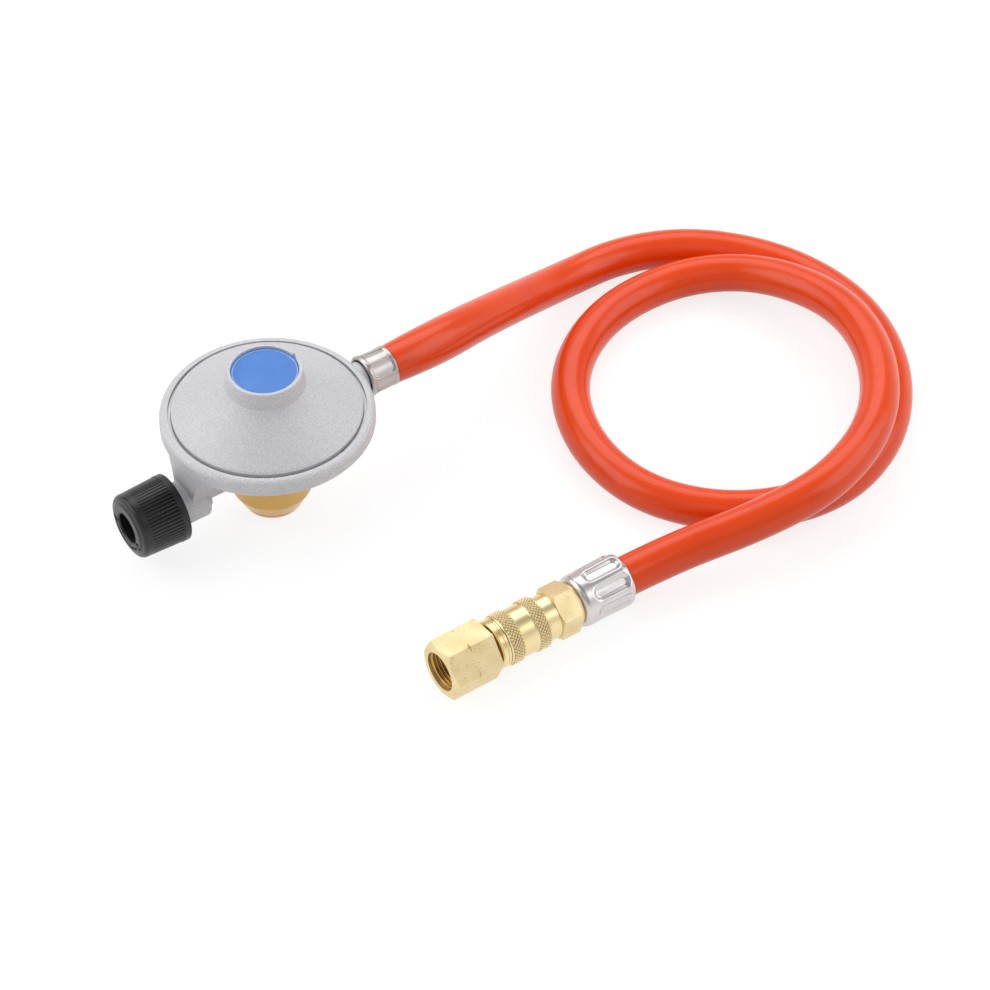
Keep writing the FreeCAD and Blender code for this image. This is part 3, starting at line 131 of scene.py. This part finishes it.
def node(tree, kind, **values):
    made = tree.nodes.new(kind)
    for key, value in values.items():
        setattr(made, key, value)
    return made


def noise(tree, scale, detail=3.0, rough=0.55, stretch=None):
    coordinates = node(tree, "ShaderNodeTexCoord")
    texture = node(tree, "ShaderNodeTexNoise")
    texture.inputs["Scale"].default_value = scale
    texture.inputs["Detail"].default_value = detail
    texture.inputs["Roughness"].default_value = rough
    if stretch:
        mapping = node(tree, "ShaderNodeMapping")
        mapping.inputs["Scale"].default_value = stretch
        link(tree, coordinates.outputs["Object"], mapping.inputs["Vector"])
        link(tree, mapping.outputs["Vector"], texture.inputs["Vector"])
    else:
        link(tree, coordinates.outputs["Object"], texture.inputs["Vector"])
    return texture.outputs["Fac"]


def ramp(tree, factor, low, high, start=0.3, end=0.7):
    made = node(tree, "ShaderNodeValToRGB")
    made.color_ramp.elements[0].position = start
    made.color_ramp.elements[0].color = (*low, 1)
    made.color_ramp.elements[1].position = end
    made.color_ramp.elements[1].color = (*high, 1)
    link(tree, factor, made.inputs["Fac"])
    return made.outputs["Color"]


def bump(tree, shader, height, strength, distance):
    made = node(tree, "ShaderNodeBump")
    made.inputs["Strength"].default_value = strength
    made.inputs["Distance"].default_value = distance
    link(tree, height, made.inputs["Height"])
    link(tree, made.outputs["Normal"], shader.inputs["Normal"])


def spread(tree, factor, low, high):
    made = node(tree, "ShaderNodeMapRange")
    made.inputs["To Min"].default_value = low
    made.inputs["To Max"].default_value = high
    link(tree, factor, made.inputs["Value"])
    return made.outputs["Result"]


def seen_directly(tree):
    """1 for what the camera, or metal and glass, see of the surroundings, else 0."""
    path = node(tree, "ShaderNodeLightPath")
    seen = node(tree, "ShaderNodeMath", operation="MAXIMUM")
    link(tree, path.outputs["Is Camera Ray"], seen.inputs[0])
    link(tree, path.outputs["Is Glossy Ray"], seen.inputs[1])
    seen_too = node(tree, "ShaderNodeMath", operation="MAXIMUM")
    link(tree, seen.outputs["Value"], seen_too.inputs[0])
    link(tree, path.outputs["Is Transmission Ray"], seen_too.inputs[1])
    return seen_too.outputs["Value"]


# --- materials ----------------------------------------------------------------------------------
def cast_zinc():
    material, tree, shader = principled("cast_zinc", Metallic=0.28)
    grain = noise(tree, 2100, 3, 0.6)
    link(tree, ramp(tree, grain, (0.52, 0.515, 0.53), (0.76, 0.755, 0.775), 0.3, 0.7),
         shader.inputs["Base Color"])
    link(tree, spread(tree, noise(tree, 160, 3), 0.52, 0.64), shader.inputs["Roughness"])
    bump(tree, shader, grain, 0.7, 0.00013)
    return material


def metal(name, low, high, rough_low, rough_high, scale=500, stretch=None):
    material, tree, shader = principled(name, Metallic=1.0)
    grain = noise(tree, scale, 4, 0.6, stretch)
    link(tree, ramp(tree, noise(tree, 60, 2), low, high), shader.inputs["Base Color"])
    link(tree, spread(tree, grain, rough_low, rough_high), shader.inputs["Roughness"])
    bump(tree, shader, grain, 0.3, 0.00003)
    return material


def plain(name, low, high, rough_low, rough_high, scale=700, strength=0.25, **values):
    material, tree, shader = principled(name, **values)
    grain = noise(tree, scale, 3)
    link(tree, ramp(tree, noise(tree, 45, 2), low, high), shader.inputs["Base Color"])
    link(tree, spread(tree, grain, rough_low, rough_high), shader.inputs["Roughness"])
    if strength:
        bump(tree, shader, grain, strength, 0.00004)
    return material


def bore_shade_mask(tree, radius):
    """1 within a radius of the coupling's axis, where painted shade darkens the nut's bore and neck,
    else 0.
    """
    coordinates = node(tree, "ShaderNodeTexCoord")
    offset = node(tree, "ShaderNodeVectorMath", operation="SUBTRACT")
    link(tree, coordinates.outputs["Object"], offset.inputs[0])
    offset.inputs[1].default_value = (0, AXIS_Y, AXIS_Z)
    flat = node(tree, "ShaderNodeVectorMath", operation="MULTIPLY")
    link(tree, offset.outputs["Vector"], flat.inputs[0])
    flat.inputs[1].default_value = (0, 1, 1)
    length = node(tree, "ShaderNodeVectorMath", operation="LENGTH")
    link(tree, flat.outputs["Vector"], length.inputs[0])
    bore_shade = node(tree, "ShaderNodeMath", operation="LESS_THAN")
    link(tree, length.outputs["Value"], bore_shade.inputs[0])
    bore_shade.inputs[1].default_value = radius
    return bore_shade.outputs["Value"]


def forged_brass():
    """Pale pressed brass with small brown specks and shallow pits, and painted shade near the axis
    in the nut's bore and neck.
    """
    material, tree, shader = principled("forged_brass", Metallic=0.85)
    tone = ramp(tree, noise(tree, 130, 3), (0.80, 0.63, 0.33), (0.92, 0.76, 0.44))
    specks = ramp(tree, noise(tree, 1250, 4, 0.6), (0.8, 0.8, 0.8), (0, 0, 0), 0.3, 0.38)
    mix = node(tree, "ShaderNodeMix", data_type="RGBA")
    link(tree, specks, mix.inputs["Factor"])
    link(tree, tone, mix.inputs["A"])
    mix.inputs["B"].default_value = (0.46, 0.23, 0.07, 1)
    # painted shade: dark brown laid over the brass within 7.4 mm of the axis, in the bore and the
    # neck
    bore_shade = node(tree, "ShaderNodeMix", data_type="RGBA")
    link(tree, bore_shade_mask(tree, 7.4 * MM), bore_shade.inputs["Factor"])
    link(tree, mix.outputs["Result"], bore_shade.inputs["A"])
    bore_shade.inputs["B"].default_value = (0.30, 0.16, 0.055, 1)
    link(tree, bore_shade.outputs["Result"], shader.inputs["Base Color"])
    grain = noise(tree, 900, 4)
    link(tree, spread(tree, grain, 0.38, 0.5), shader.inputs["Roughness"])
    bump(tree, shader, grain, 0.35, 0.00006)
    return material


def knurled_brass():
    """Machined brass, with painted shade that darkens it where the knurl's grooves are deep."""
    material, tree, shader = principled("knurled_brass", Metallic=0.9)
    depth = node(tree, "ShaderNodeAttribute", attribute_name="height")
    # painted shade: the tone runs from dark brown at the groove bottoms to pale brass on the ridges
    tone = ramp(tree, depth.outputs["Fac"], (0.30, 0.19, 0.07), (0.88, 0.73, 0.41), 0.0, 0.55)
    link(tree, tone, shader.inputs["Base Color"])
    grain = noise(tree, 800, 3)
    link(tree, spread(tree, grain, 0.3, 0.42), shader.inputs["Roughness"])
    bump(tree, shader, grain, 0.2, 0.00003)
    return material


ZINC = cast_zinc()
HOSE = plain("hose_rubber", (0.81, 0.06, 0.003), (0.87, 0.073, 0.004), 0.22, 0.29, 260,
             strength=0, Specular_IOR_Level=0.42)
BLACK = plain("black_plastic", (0.008, 0.0075, 0.009), (0.013, 0.012, 0.014), 0.28, 0.4, 900)
BRASS = metal("coupling_brass", (0.84, 0.68, 0.36), (0.90, 0.75, 0.43), 0.24, 0.36, 420,
              (9, 0.6, 0.6))
FORGED = forged_brass()
KNURLED = knurled_brass()
# painted shade: a darker brown copy of the brass for the thread inside the nut's bore
SHADED_BORE = metal("shaded_bore_brass", (0.46, 0.25, 0.07), (0.58, 0.34, 0.11), 0.28, 0.4)
DEEP = metal("connector_brass", (0.52, 0.31, 0.10), (0.60, 0.38, 0.13), 0.18, 0.28, 420,
             (0.6, 0.6, 9))
STEEL = metal("ferrule_steel", (0.62, 0.585, 0.585), (0.72, 0.685, 0.685), 0.27, 0.34, 300)
NICKEL = metal("ferrule_nickel", (0.45, 0.415, 0.40), (0.53, 0.495, 0.48), 0.24, 0.36, 300)
RING = metal("ring_steel", (0.42, 0.42, 0.43), (0.52, 0.52, 0.53), 0.4, 0.5)
DARK = metal("spring_steel", (0.4, 0.4, 0.41), (0.5, 0.5, 0.5), 0.25, 0.4)
RUBBER = plain("seal_rubber", (0.015, 0.015, 0.015), (0.025, 0.025, 0.025), 0.5, 0.7)


LINE_RADIUS, LINE_HALF_WIDTH = 11.7, 0.22


def label():
    """A bare blue disc with one thin paler line near its edge."""
    material, tree, shader = principled("label_blue", Specular_IOR_Level=0.35)
    coordinates = node(tree, "ShaderNodeTexCoord")
    split = node(tree, "ShaderNodeSeparateXYZ")
    link(tree, coordinates.outputs["Object"], split.inputs["Vector"])
    flat = node(tree, "ShaderNodeCombineXYZ")
    link(tree, split.outputs["X"], flat.inputs["X"])
    link(tree, split.outputs["Y"], flat.inputs["Y"])
    length = node(tree, "ShaderNodeVectorMath", operation="LENGTH")
    link(tree, flat.outputs["Vector"], length.inputs[0])
    band = node(tree, "ShaderNodeMath", operation="COMPARE")
    link(tree, length.outputs["Value"], band.inputs[0])
    band.inputs[1].default_value = LINE_RADIUS * MM
    band.inputs[2].default_value = LINE_HALF_WIDTH * MM
    mix = node(tree, "ShaderNodeMix", data_type="RGBA")
    link(tree, band.outputs["Value"], mix.inputs["Factor"])
    link(tree, ramp(tree, noise(tree, 120, 2), (0.07, 0.22, 0.64), (0.085, 0.25, 0.70)),
         mix.inputs["A"])
    mix.inputs["B"].default_value = (0.35, 0.5, 0.8, 1)
    link(tree, mix.outputs["Result"], shader.inputs["Base Color"])
    link(tree, spread(tree, noise(tree, 500, 3), 0.4, 0.5), shader.inputs["Roughness"])
    bump(tree, shader, noise(tree, 900, 3), 0.12, 0.00003)
    return material


LABEL = label()

FINISH = {
    "body_casting": ZINC, "cover_casting": ZINC, "retaining_ring": RING, "label_disc": LABEL,
    "adjusting_disc": BLACK, "cartridge_connector": DEEP, "cartridge_seal": RUBBER,
    "opening_pin": DEEP, "diaphragm": RUBBER, "diaphragm_plate": ZINC, "diaphragm_stem": ZINC,
    "stem_nut": DARK, "main_spring": DARK, "lever": DARK, "valve_pad": RUBBER, "lever_pin": DARK,
    "inlet_jet": DEEP, "tap_pad": RUBBER, "tap_spindle": DEEP, "spindle_seal": RUBBER,
    "gland_nut": DEEP, "tap_knob": BLACK, "knob_screw": DARK, "ferrule_regulator": NICKEL,
    "ferrule_coupling": STEEL, "hose": HOSE, "plug_nut": FORGED, "sleeve_stop_ring": BRASS,
    "coupling_sleeve": BRASS, "coupling_socket": BRASS, "plug_seal": RUBBER,
    "locking_balls": DARK, "coupling_tail": FORGED, "valve_poppet": BRASS,
    "poppet_spring": DARK, "sleeve_spring": DARK,
}
for name, finish in FINISH.items():
    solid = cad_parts[name]
    solid.data.materials.clear()
    solid.data.materials.append(finish)
hose_mesh.materials.append(HOSE)
for face in hose_mesh.polygons:
    face.use_smooth = len(face.vertices) == 4


# --- pieces made on a grid round an X axis --------------------------------------------------------
def made_piece(name, mesh, material, body):
    data = bpy.data.meshes.new(name)
    mesh.to_mesh(data)
    mesh.free()
    data.materials.append(material)
    piece = bpy.data.objects.new(name, data)
    scene.collection.objects.link(piece)
    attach(piece, body)
    return piece


def grid(name, xs, around, radius, centre, material, body, ends=()):
    """A surface round an X axis: radius(x, angle) gives each point's distance from the axis.

    ends gives the radii of the holes left in flat faces at its two ends.
    """
    mesh = bmesh.new()
    rows = []
    stations = [(x, None) for x in xs]
    if ends:
        stations = [(xs[0], ends[0] * MM)] + stations + [(xs[-1], ends[1] * MM)]
    for x, fixed in stations:
        row = []
        for step in range(around):
            angle = 2 * math.pi * step / around
            r = fixed or radius(x, angle)
            row.append(mesh.verts.new((x, centre[0] + r * math.sin(angle),
                                       centre[1] + r * math.cos(angle))))
        rows.append(row)
    for first, second in zip(rows, rows[1:]):
        for step in range(around):
            after = (step + 1) % around
            face = mesh.faces.new([first[step], second[step], second[after], first[after]])
            face.smooth = not ends or (first is not rows[0] and second is not rows[-1])
    bmesh.ops.recalc_face_normals(mesh, faces=mesh.faces)
    return made_piece(name, mesh, material, body)


def steps(start, end, count):
    return [start + (end - start) * k / count for k in range(count + 1)]


def soft_step(value, low, high):
    t = min(1.0, max(0.0, (value - low) / (high - low)))
    return t * t * (3 - 2 * t)


def crimps(x, angle, middle, length, width, radius, corner, wall, count=8):
    """How deep a ring of pressed hollows is at a point of a ferrule, from 0 to 1."""
    turn = 2 * math.pi / count
    along = abs(x - middle) - (length / 2 - corner)
    across = abs((angle / turn + 0.5) % 1 - 0.5) * turn * radius - (width / 2 - corner)
    reach = math.hypot(max(along, 0), max(across, 0)) + min(0, max(along, across)) - corner
    return 1 - soft_step(reach, -wall, 0.3)


# --- the two ferrules ---------------------------------------------------------------------------
F_START, F_END = ferrule_low[0] / MM, ferrule_high[0] / MM
F_BIG, F_SMALL = 8.15, 7.85


def outlet_ferrule_radius(x, angle):
    x = x / MM
    body = F_BIG + (F_SMALL - F_BIG) * (x - F_START) / (F_END - F_START)
    lip = 0.5 * (1 - soft_step(F_END - x, 0, 0.5)) + 0.4 * (1 - soft_step(x - F_START, 0, 0.6))
    press = 0.6 * crimps(x, angle, (F_START + F_END) / 2 + 0.2, 9.2, 5.1, 7.9, 1.6, 0.55)
    return (body - lip - press) * MM


outlet_ferrule = grid("outlet_ferrule", steps(ferrule_low[0], ferrule_high[0], 90), 400,
                      outlet_ferrule_radius, (0, OUT_Z), NICKEL, "regulator",
                      (6.9, 7.1))
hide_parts("ferrule_regulator")

E_START, E_END = end_low[0] / MM, end_high[0] / MM


def end_ferrule_radius(x, angle):
    x = x / MM
    shoulder = 2.4 * (1 - math.sqrt(max(0, 1 - (max(0, 2.4 - (x - E_START)) / 2.4) ** 2)))
    tail = 0.5 * soft_step(x, E_END - 2.2, E_END) + 0.35 * soft_step(x, E_END - 0.5, E_END) ** 2
    press = 1.15 * crimps(x, angle, (E_START + E_END) / 2 + 1.9, 15.6, 5.8, 9.8, 2.6, 1.7)
    lobe = 0.3 * (0.5 - 0.5 * math.cos(8 * angle)) * soft_step(x, E_START + 3, E_END - 3)
    return (10 - shoulder - tail - press + lobe) * MM


end_ferrule = grid("end_ferrule", steps(end_low[0], end_high[0], 130), 440, end_ferrule_radius,
                   (AXIS_Y, AXIS_Z), STEEL, "regulator", (4.2, 7.4))
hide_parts("ferrule_coupling")


# --- the coupling: knurled bands and the nut's thread ----------------------------------------------
SLEEVE_R = (sleeve_high[2] - sleeve_low[2]) / 2 / MM - 0.02
KNURL_COUNT, KNURL_PITCH, KNURL_HEIGHT = 42, 1.45, 0.42
KNURL_INSET, KNURL_REACH = 0.5 * MM, 5.4 * MM
THREAD_PITCH, THREAD_RADIUS, THREAD_DEPTH = 1.337, 7.42, 0.62


def knurl_radius(start, end):
    def radius(x, angle):
        along = (x / MM) / KNURL_PITCH
        around = angle * KNURL_COUNT / (2 * math.pi)
        one = abs((around + along) % 1 - 0.5) * 2
        two = abs((around - along) % 1 - 0.5) * 2
        pattern = min(1.0, 1.5 * min(1 - one, 1 - two))
        fade = min(soft_step(x - start, 0, 0.5 * MM), soft_step(end - x, 0, 0.5 * MM))
        return (SLEEVE_R + KNURL_HEIGHT * pattern * fade) * MM
    return radius


def knurl(name, start, end):
    piece = grid(name, steps(start, end, 60), KNURL_COUNT * 12, knurl_radius(start, end),
                 (AXIS_Y, AXIS_Z), KNURLED, "release_sleeve")
    # each point's height above the sleeve, which sets the painted shade in the grooves
    height = piece.data.attributes.new("height", "FLOAT", "POINT")
    for vertex in piece.data.vertices:
        x, y, z = vertex.co
        above = math.hypot(y - AXIS_Y, z - AXIS_Z) / MM - SLEEVE_R
        height.data[vertex.index].value = above / KNURL_HEIGHT


knurl("sleeve_knurl_front", sleeve_low[0] + KNURL_INSET, sleeve_low[0] + KNURL_REACH)
knurl("sleeve_knurl_rear", sleeve_high[0] - KNURL_REACH, sleeve_high[0] - KNURL_INSET)


def thread_radius(x, angle):
    """A left-hand helix, one groove to the turn."""
    along = (x / MM) / THREAD_PITCH - angle / (2 * math.pi)
    tooth = abs(along % 1 - 0.5) * 2
    return (THREAD_RADIUS - THREAD_DEPTH * min(1.0, max(0.0, 1.35 * tooth - 0.15))) * MM


# the thread in the nut's bore, in the darker brass that paints shade there
grid("nut_thread", steps(nut_low[0] + 1.1 * MM, nut_low[0] + 12.6 * MM, 130), 72, thread_radius,
     (AXIS_Y, AXIS_Z), SHADED_BORE, "swivel_plug")


# --- the knob's front face, with its double-headed turning mark -----------------------------------
# it covers the groove in the knob's solid, which is further out and turned by about 39 degrees
MARK_RADIUS, MARK_START, MARK_END = 8.0, -166, 2
HEAD_SPAN, HEAD_REACH = 12, 1.35
FACE_INNER, FACE_OUTER, FACE_RISE = 5.92, 10.4, 0.6
FACE_TURNS = 480


def polar(radius, degrees):
    return radius * math.cos(math.radians(degrees)), radius * math.sin(math.radians(degrees))


def arrow_strokes(turn, way):
    """The two strokes of an arrowhead at an end of the mark."""
    tip = polar(MARK_RADIUS, turn)
    return [(tip, polar(MARK_RADIUS + side, turn - HEAD_SPAN * way))
            for side in (HEAD_REACH, -HEAD_REACH)]


STROKES = arrow_strokes(MARK_END, 1) + arrow_strokes(MARK_START, -1)


def stroke_distance(point, start, end):
    """How far a point is from the straight line between two others."""
    run = (end[0] - start[0], end[1] - start[1])
    way = (point[0] - start[0], point[1] - start[1])
    along = (way[0] * run[0] + way[1] * run[1]) / (run[0] ** 2 + run[1] ** 2)
    along = min(1.0, max(0.0, along))
    return math.hypot(way[0] - along * run[0], way[1] - along * run[1])


def face_height(radius, degrees):
    """How far the face stands proud, in millimetres, with the mark pressed into it."""
    point = polar(radius, degrees)
    lands = soft_step(radius, FACE_INNER, FACE_INNER + 0.5) \
        * (1 - soft_step(radius, FACE_OUTER - 1.3, FACE_OUTER + 0.2))
    nearest = min(stroke_distance(point, *stroke) for stroke in STROKES)
    if MARK_START <= degrees <= MARK_END:
        nearest = min(nearest, abs(radius - MARK_RADIUS))
    return FACE_RISE * lands * soft_step(nearest, 0.34, 0.56) - 0.02


face_mesh = bmesh.new()
face_rows = []
for ring in steps(FACE_INNER, FACE_OUTER, 56):
    row = []
    for turn in range(FACE_TURNS):
        degrees = turn * 360 / FACE_TURNS - 270
        y, z = polar(ring, degrees)
        proud = face_height(ring, degrees)
        row.append(face_mesh.verts.new((knob_low[0] - proud * MM, y * MM, TAP_Z + z * MM)))
    face_rows.append(row)
for inner, outer in zip(face_rows, face_rows[1:]):
    for turn in range(FACE_TURNS):
        after = (turn + 1) % FACE_TURNS
        face_mesh.faces.new([inner[turn], inner[after], outer[after], outer[turn]]).smooth = True
made_piece("knob_face", face_mesh, BLACK, "tap_handle")

# --- surroundings ---------------------------------------------------------------------------------
floor_mesh = bpy.data.meshes.new("floor")
FLOOR = 6
floor_mesh.from_pydata([(-FLOOR, -FLOOR, 0), (FLOOR, -FLOOR, 0), (FLOOR, FLOOR, 0),
                        (-FLOOR, FLOOR, 0)], [], [(0, 1, 2, 3)])
floor = bpy.data.objects.new("floor", floor_mesh)
scene.collection.objects.link(floor)
floor_material = bpy.data.materials.new("floor_white")
floor_material.use_nodes = True
tree = floor_material.node_tree
tree.nodes.clear()
output = node(tree, "ShaderNodeOutputMaterial")
matt = node(tree, "ShaderNodeBsdfDiffuse")
matt.inputs["Color"].default_value = (0.3, 0.3, 0.3, 1)
bright = node(tree, "ShaderNodeBsdfDiffuse")
bright.inputs["Color"].default_value = (0.62, 0.62, 0.62, 1)
glow = node(tree, "ShaderNodeEmission")
glow.inputs["Strength"].default_value = 0.78
both = node(tree, "ShaderNodeAddShader")
link(tree, matt.outputs[0], both.inputs[0])
link(tree, glow.outputs[0], both.inputs[1])
choice = node(tree, "ShaderNodeMixShader")
link(tree, seen_directly(tree), choice.inputs["Fac"])
link(tree, bright.outputs[0], choice.inputs[1])
link(tree, both.outputs[0], choice.inputs[2])
link(tree, choice.outputs[0], output.inputs["Surface"])
floor_mesh.materials.append(floor_material)

world = bpy.data.worlds.new("world")
scene.world = world
world.use_nodes = True
tree = world.node_tree
tree.nodes.clear()
output = node(tree, "ShaderNodeOutputWorld")
ambient = node(tree, "ShaderNodeBackground")
ambient.inputs["Color"].default_value = (1, 1, 1, 1)
ambient.inputs["Strength"].default_value = 0.42
white = node(tree, "ShaderNodeBackground")
direction = node(tree, "ShaderNodeTexCoord")
height = node(tree, "ShaderNodeSeparateXYZ")
link(tree, direction.outputs["Generated"], height.inputs["Vector"])
sky = ramp(tree, height.outputs["Z"], (1, 1, 1), (0.3, 0.3, 0.31), 0.1, 0.45)
link(tree, sky, white.inputs["Color"])
white.inputs["Strength"].default_value = 1.0
choice = node(tree, "ShaderNodeMixShader")
link(tree, seen_directly(tree), choice.inputs["Fac"])
link(tree, ambient.outputs[0], choice.inputs[1])
link(tree, white.outputs[0], choice.inputs[2])
link(tree, choice.outputs[0], output.inputs["Surface"])


def softbox(name, place, target, width, height, power):
    data = bpy.data.lights.new(name, "AREA")
    data.shape = "RECTANGLE"
    data.size = width
    data.size_y = height
    data.energy = power
    lamp = bpy.data.objects.new(name, data)
    scene.collection.objects.link(lamp)
    lamp.location = place
    lamp.rotation_euler = (Vector(target) - Vector(place)).to_track_quat("-Z", "Y").to_euler()


MIDDLE = (0.09, -0.04, 0.01)
softbox("left", (-0.81, 0.59, 0.8), MIDDLE, 1.2, 1.0, 7.5)
softbox("right", (0.99, -0.67, 0.8), MIDDLE, 1.2, 1.0, 6.5)
softbox("back", (0.6, 0.7, 1.1), MIDDLE, 1.3, 0.9, 7)
softbox("front", (-0.5, -0.8, 1.2), MIDDLE, 1.0, 0.8, 1)

# --- the coupling's parts and the end ferrule, gathered in a list -----------------------------
KNOWN = [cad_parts[name] for name in (
    "coupling_tail", "coupling_socket", "sleeve_stop_ring", "coupling_sleeve",
    "plug_nut")]
KNOWN += [end_ferrule]

bpy.context.view_layer.update()
